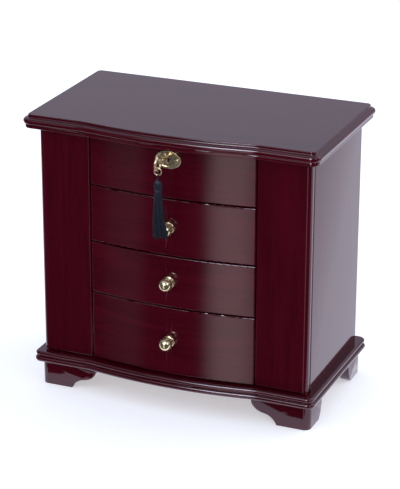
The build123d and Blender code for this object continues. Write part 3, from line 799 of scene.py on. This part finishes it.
def screw_boxes(name):
    """Low and high corner of each screw of a node. The screws stand apart in X."""
    found = []
    for co in [vert.co for vert in nodes[name].data.vertices]:
        for group in found:
            if abs(group[0].x - co.x) < SCREWS_APART:
                group.append(co)
                break
        else:
            found.append([co])
    print(name, "screws", len(found))
    boxes = []
    for group in found:
        low = Vector([min(co[i] for co in group) for i in range(3)])
        high = Vector([max(co[i] for co in group) for i in range(3)])
        boxes.append((low, high))
    return boxes


def set_screws(name, body, tilt, head_place):
    """Screws for one node. Tilt turns each one about X and Y; head_place finds its head from its box."""
    sizes = {"Tilt X": tilt[0], "Tilt Y": tilt[1], "Seed": 3}
    boxes = screw_boxes(name)
    low, high = boxes[0]
    holder = put_in_scene("screw_model", slotted_screw(max(high - low) - SHORTER))
    graph, wires, leave = tree_for(f"{name}_layout", sizes)
    model = graph.node("GeometryNodeObjectInfo", None, {"Object": holder}, output="Geometry")
    spin = random_number(graph, 3.1, wires["Seed"])
    lay = graph.node("ShaderNodeCombineXYZ", None, {0: wires["Tilt X"], 1: wires["Tilt Y"]})
    lay = graph.node("FunctionNodeEulerToRotation", None, {0: lay})
    own = graph.node("ShaderNodeCombineXYZ", None, {2: spin})
    own = graph.node("FunctionNodeEulerToRotation", None, {0: own})
    turned = graph.node("FunctionNodeRotateRotation", {"rotation_space": "LOCAL"}, {0: lay, 1: own})
    laid = graph.node(
        "GeometryNodeInstanceOnPoints", None,
        {"Points": wires["Geometry"], "Instance": model, "Rotation": turned},
    )
    close_tree(graph, leave, laid, brass)
    places = [head_place(low, high) for low, high in boxes]
    piece = grow(f"{name}_slotted", graph, sizes, seed_points(name, places))
    bpy.data.objects.remove(holder)
    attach(piece, body)
    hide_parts(name)


def middle(low, high):
    return (low + high) / 2


set_screws(
    "lid_hinge_case_screws", "case", (-math.pi / 2, 0.0),
    lambda low, high: (middle(low, high).x, high.y - SUNK, middle(low, high).z),
)
set_screws(
    "lid_hinge_lid_screws", "lid", (math.pi, 0.0),
    lambda low, high: (middle(low, high).x, middle(low, high).y, low.z + SUNK),
)

# %% [markdown]
# ## The tassel
# A tassel is one hank of thread, folded over a loop and bound below the fold, so every thread runs over
# the head, in at the waist and out to the skirt. Geometry Nodes grows the threads: each takes its own
# place across the hank and its own slow wander, two curves give the hank's width and depth from top to
# bottom, and the skirt leans a little to one side, as it would after handling.

# %% Hank of threads
skirt_low, skirt_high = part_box("tassel_skirt")
axis_x = (skirt_low.x + skirt_high.x) / 2
axis_y = (skirt_low.y + skirt_high.y) / 2
TASSEL = {
    "Threads": 120, "Length": skirt_high.z - skirt_low.z, "Half Width": 0.0084, "Half Depth": 0.0044,
    "Thread Radius": 0.00036, "Wander": 0.0022, "Lean": 0.0022, "Seed": 11,
}
SUNFLOWER_TURN = 2.39996
graph, wires, leave = tree_for("silk_hank", TASSEL)
foot = graph.node("ShaderNodeCombineXYZ", None, {2: -wires["Length"]})
strand = graph.node("GeometryNodeCurvePrimitiveLine", None, {"End": foot})
strand = graph.node("GeometryNodeResampleCurve", None, {"Curve": strand, "Count": 30})
dots = graph.node("GeometryNodePoints", None, {"Count": wires["Threads"]})
index = graph.node("GeometryNodeInputIndex")
own_numbers = {
    "hank_angle": index * SUNFLOWER_TURN,
    "hank_out": ((index + 0.5) / wires["Threads"]) ** 0.5,
    "thread_tone": random_number(graph, 1.0, wires["Seed"]),
}
for label, value in own_numbers.items():
    dots = graph.node(
        "GeometryNodeStoreNamedAttribute", {"data_type": "FLOAT", "domain": "POINT"},
        {"Geometry": dots, "Name": label, "Value": value},
    )
hank = graph.node("GeometryNodeInstanceOnPoints", None, {"Points": dots, "Instance": strand})
hank = graph.node("GeometryNodeRealizeInstances", None, {0: hank})

# %% Shape of the hank
WAIST = 0.155
DOWN = (0.0, 0.045, 0.1, WAIST, 0.2, 0.5, 0.8, 1.0)
WIDTH = (0.22, 0.5, 0.56, 0.42, 0.44, 0.66, 0.88, 1.0)
DEPTH = (0.4, 0.82, 0.9, 0.68, 0.72, 0.86, 0.96, 1.0)
down = graph.node("GeometryNodeSplineParameter")


def stored(name):
    return graph.node("GeometryNodeInputNamedAttribute", {"data_type": "FLOAT"}, {"Name": name})


def drawn(shares):
    """Curve over the hank's height, through one share at each place in DOWN."""
    return graph.node("ShaderNodeFloatCurve", {"points": list(zip(DOWN, shares))}, {"Value": down})


angle = stored("hank_angle")
out = stored("hank_out")
tone = stored("thread_tone")
inner = 1.1 - out
loose = down.between(0.2, 1.0)
sway_x = (down * 7.0 + tone * 40.0).sine() * wires["Wander"] * loose * inner
sway_y = (down * 5.0 + tone * 71.0).cosine() * wires["Wander"] * 0.5 * loose * inner
lean = wires["Lean"] * down * down * (down + 0.35 * tone)
across = angle.cosine() * out * drawn(WIDTH) * (wires["Half Width"] - wires["Thread Radius"])
through = angle.sine() * out * drawn(DEPTH) * (wires["Half Depth"] - wires["Thread Radius"])
drop = down * wires["Length"] * (1 - 0.09 * tone * down)
spot = graph.node(
    "ShaderNodeCombineXYZ", None,
    {0: axis_x + across + sway_x + lean, 1: axis_y + through + sway_y, 2: skirt_high.z - drop},
)
hank = graph.node("GeometryNodeSetPosition", None, {"Geometry": hank, "Position": spot})
ring = graph.node(
    "GeometryNodeCurvePrimitiveCircle", {"mode": "RADIUS"},
    {"Resolution": 5, "Radius": wires["Thread Radius"]},
)
hank = graph.node("GeometryNodeCurveToMesh", None, {"Curve": hank, "Profile Curve": ring, "Fill Caps": True})
hank = graph.node("GeometryNodeSetShadeSmooth", None, {"Geometry": hank})
close_tree(graph, leave, hank, thread)
threads = grow("tassel_threads", graph, TASSEL, seed_points("hank_seed", [(0, 0, 0)]))
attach(threads, "tassel")
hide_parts("tassel_skirt")

# %% [markdown]
# ## Binding and loop
# A thread is wound round the waist of the tassel. The loop that hangs on the ring is two threads twisted
# together, and three more carry it down into the head. All of them are helices, so one small function
# sweeps a round thread along a list of points.


# %% Swept thread
def sweep(name, points, radius, sides=8):
    """Round thread along points."""
    last = len(points) - 1
    rings = []
    aside = None
    for i, point in enumerate(points):
        ahead = (points[min(i + 1, last)] - points[max(i - 1, 0)]).normalized()
        aside = ahead.orthogonal() if aside is None else aside - ahead * aside.dot(ahead)
        aside.normalize()
        other = ahead.cross(aside)
        turns = [2 * math.pi * k / sides for k in range(sides)]
        rings.append([point + (aside * math.cos(a) + other * math.sin(a)) * radius for a in turns])
    return grid_mesh(name, rings, thread)


def tone_points(piece, value):
    """Gives a piece the same per-thread number that the grown threads carry."""
    store = piece.data.attributes.new("thread_tone", "FLOAT", "POINT")
    for item in store.data:
        item.value = value
    return piece


# %% Binding at the waist
BIND_TURNS = 6
BIND_STEPS = 20
BIND_HALF = 0.0021
BIND_X = 0.0037
BIND_Y = 0.0033
waist_z = skirt_high.z - WAIST * TASSEL["Length"]
winding = []
for step in range(BIND_TURNS * BIND_STEPS + 1):
    angle = 2 * math.pi * step / BIND_STEPS
    winding.append(Vector((
        axis_x + math.cos(angle) * BIND_X, axis_y + math.sin(angle) * BIND_Y,
        waist_z + BIND_HALF - 2 * BIND_HALF * step / (BIND_TURNS * BIND_STEPS),
    )))
binding = tone_points(sweep("tassel_binding", winding, 0.0004), 0.7)
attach(binding, "tassel")

# %% Loop on the ring
LOOP_STEPS = 96
LOOP_TWISTS = 9
PLY_OFFSET = 0.00027
PLY_R = 0.00031
loop_low, loop_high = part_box("tassel_loop")
loop_mid = middle(loop_low, loop_high)
loop_r = (loop_high.y - loop_low.y) / 2
hang_r = loop_r - 0.0006
loop_centre = Vector((loop_mid.x, loop_mid.y, loop_high.z - loop_r))
plies = []
for ply in range(2):
    points = []
    for step in range(LOOP_STEPS):
        share = step / LOOP_STEPS
        around = 2 * math.pi * share
        twist = 2 * math.pi * LOOP_TWISTS * share + math.pi * ply
        reach = hang_r + PLY_OFFSET * math.cos(twist)
        points.append(loop_centre + Vector((
            PLY_OFFSET * math.sin(twist), math.sin(around) * reach, math.cos(around) * reach,
        )))
    points.append(points[0].copy())
    plies.append(sweep("loop_ply", points, PLY_R))

# %% Neck of the loop
NECK_STEPS = 24
NECK_TWISTS = 1.4
NECK_OFFSET = 0.00052
NECK_R = 0.0006
loop_foot = loop_centre.z - hang_r
for ply in range(3):
    points = []
    for step in range(NECK_STEPS + 1):
        share = step / NECK_STEPS
        twist = 2 * math.pi * (NECK_TWISTS * share + ply / 3)
        points.append(Vector((
            axis_x + NECK_OFFSET * math.cos(twist), axis_y + NECK_OFFSET * math.sin(twist),
            loop_foot + 0.0002 - share * (loop_foot - skirt_high.z + 0.0016),
        )))
    plies.append(sweep("neck_ply", points, NECK_R))
loop = tone_points(join_pieces("tassel_loop_twist", plies), 0.45)
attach(loop, "tassel")
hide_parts("tassel_loop")
print("tassel done")

# %% [markdown]
# ## Camera
# The camera looks down from the front right. A long lens, set a little over two metres away, keeps the
# upright lines of the case nearly parallel.

# %% Camera
TARGET = Vector((-0.00827, 0.03195, 0.1482))
AZIMUTH = math.radians(22.57)
ELEVATION = math.radians(21.3)
ROLL = math.radians(0.19)
DISTANCE = 2.21
back = Vector((
    math.sin(AZIMUTH) * math.cos(ELEVATION), -math.cos(AZIMUTH) * math.cos(ELEVATION), math.sin(ELEVATION),
))
lens = bpy.data.cameras.new("camera")
lens.lens = 151.66
lens.sensor_width = 36.0
lens.clip_end = 50.0
camera = put_in_scene("camera", lens)
camera.location = TARGET + back * DISTANCE
camera.rotation_mode = "QUATERNION"
camera.rotation_quaternion = (-back).to_track_quat("-Z", "Y") @ Quaternion((0, 0, 1), ROLL)
bpy.context.scene.camera = camera

# %% [markdown]
# ## Floor, and what the gloss sees of it
# The chest stands on a plain pale floor. In the gloss that floor would be equally bright on every side,
# so reflections see another sheet instead: it glows behind and beside the chest and stops just in
# front of it. The feet and base then have a bright right side and a dark front.


# %% Floor
def sheet(name, low, high, z, finish):
    """Flat rectangle between two X, Y corners."""
    mesh = bpy.data.meshes.new(name)
    corners = [(low[0], low[1], z), (high[0], low[1], z), (high[0], high[1], z), (low[0], high[1], z)]
    mesh.from_pydata(corners, [], [(0, 1, 2, 3)])
    piece = put_in_scene(name, mesh)
    dress(piece, finish.material)
    return piece


REACH = 12.0
paper = Finish(
    "floor_paper", Roughness=0.9, Specular_IOR_Level=0.0, Emission_Color=(1.0, 1.0, 1.0, 1.0),
    Emission_Strength=0.42,
)
fibre = paper.noise(3.0)
paper.feed("Base Color", paper.blend(fibre, (0.86, 0.86, 0.865, 1.0), (0.88, 0.88, 0.88, 1.0)))
floor = sheet("floor", (-REACH, -REACH), (REACH, REACH), 0.0, paper)
floor.visible_glossy = False
floor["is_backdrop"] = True

# %% Table top in the gloss
JUST_UNDER = -0.0004
FRONT_EDGE = -0.118
glow = Finish(
    "table_light", Roughness=1.0, Base_Color=(0.0, 0.0, 0.0, 1.0), Emission_Color=(0.9, 0.92, 1.1, 1.0),
    Emission_Strength=1.34,
)
table = sheet("table_glow", (-0.9, FRONT_EDGE), (2.2, 2.2), JUST_UNDER, glow)
table.visible_camera = False
table.visible_diffuse = False
table.visible_shadow = False
table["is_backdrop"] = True

# %% [markdown]
# ## The room in the gloss
# Lacquer shows the room it stands in, so the room matters as much as the lamps. It is bright behind and
# overhead and nearly dark in front, which is why the top and the right side shine and the front stays
# deep red. Two tall soft strips in front give the fronts their sheen, a strong patch high in front
# draws the lines along the mouldings, and a weaker one lights the right side. Other rays see an even room.

# %% Directions in the room
world = bpy.data.worlds.new("studio")
bpy.context.scene.world = world
world.use_nodes = True
room = Graph(world.node_tree)
room.tree.nodes.clear()
aim_at = room.node("ShaderNodeTexCoord", output="Generated")
side, rear, up = [room.node("ShaderNodeSeparateXYZ", None, {0: aim_at}, output=i) for i in range(3)]


def lobe(direction, edge):
    """Soft patch of light round one direction. Edge is the cosine at which it ends."""
    toward = Vector(direction).normalized()
    dot = room.node("ShaderNodeVectorMath", {"operation": "DOT_PRODUCT"}, {0: aim_at, 1: toward}, output=1)
    return dot.between(edge, 1.0)


def upright(centre, half_width):
    """Tall soft strip of light in front of the chest, at one X."""
    off = (side - centre) / half_width
    strip = (1 - off * off).between(0.0, 1.0) ** 3.0
    return strip * (-rear).between(0.55, 0.85) * (0.3 - up).between(0.0, 0.3)


# %% Room light
COOL = (0.8, 0.87, 1.06, 1.0)
WARM = (1.0, 0.84, 0.88, 1.0)
WHITE = (1.0, 1.0, 1.0, 1.0)
DARK = 0.012
BEHIND = 0.66
OVERHEAD = 0.5
MAIN_STRIP = 1.6
LEFT_STRIP = 0.2
HIGH_PATCH = 20.0
RIGHT_PATCH = 2.2
EVEN_ROOM = 0.9
SEEN_LIFT = 0.12
seen = DARK + BEHIND * rear.between(-0.05, 0.45) + OVERHEAD * up.between(0.3, 0.9)
sheen = upright(-0.1, 0.175)
seen = seen + MAIN_STRIP * sheen + LEFT_STRIP * upright(-0.56, 0.14)
seen = seen + HIGH_PATCH * lobe((-0.085, -0.8, 0.6), 0.962)
seen = seen + RIGHT_PATCH * lobe((0.75, -0.35, 0.55), 0.94)
glossy = room.node("ShaderNodeLightPath", output="Is Glossy Ray")
camera_ray = room.node("ShaderNodeLightPath", output="Is Camera Ray")
strength = glossy * seen + (1 - glossy) * (EVEN_ROOM + camera_ray * SEEN_LIFT)
tint = room.blend(camera_ray, room.blend(sheen * glossy, COOL, WARM), WHITE)
light = room.node("ShaderNodeBackground", None, {"Color": tint, "Strength": strength})
world_out = room.tree.nodes.new("ShaderNodeOutputWorld")
room.plug(world_out.inputs[0], light)

# %% [markdown]
# ## Lamps
# A large soft box behind the right shoulder of the chest lights the top and the right side. A weaker one
# high in front fills the fronts, so that the shadows stay soft.


# %% Soft boxes
def soft_box(name, place, look_at, width, power):
    data = bpy.data.lights.new(name, "AREA")
    data.shape = "RECTANGLE"
    data.size = width
    data.size_y = width
    data.energy = power
    lamp = put_in_scene(name, data)
    lamp.location = place
    lamp.rotation_mode = "QUATERNION"
    lamp.rotation_quaternion = (Vector(look_at) - Vector(place)).to_track_quat("-Z", "Y")


soft_box("soft_box_right", (1.5, 0.9, 1.5), (0.0, 0.0, 0.12), 1.4, 9.0)
soft_box("soft_box_front", (-0.5, -1.8, 1.5), (0.0, 0.0, 0.15), 1.2, 5.0)
bpy.context.scene.view_settings.view_transform = "Standard"
print("stage ready")

# %% [markdown]
# ## Last step
# Every CAD part that no other piece replaces is swapped for its smoothed copy.

# %% Finish
REPLACED = ("tassel_loop", "tassel_skirt", "ring_rolls", "side_linings")
for name in list(nodes):
    if name not in REPLACED and not name.endswith(("_lining", "_screws")):
        smooth_copy(name)
low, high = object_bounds()
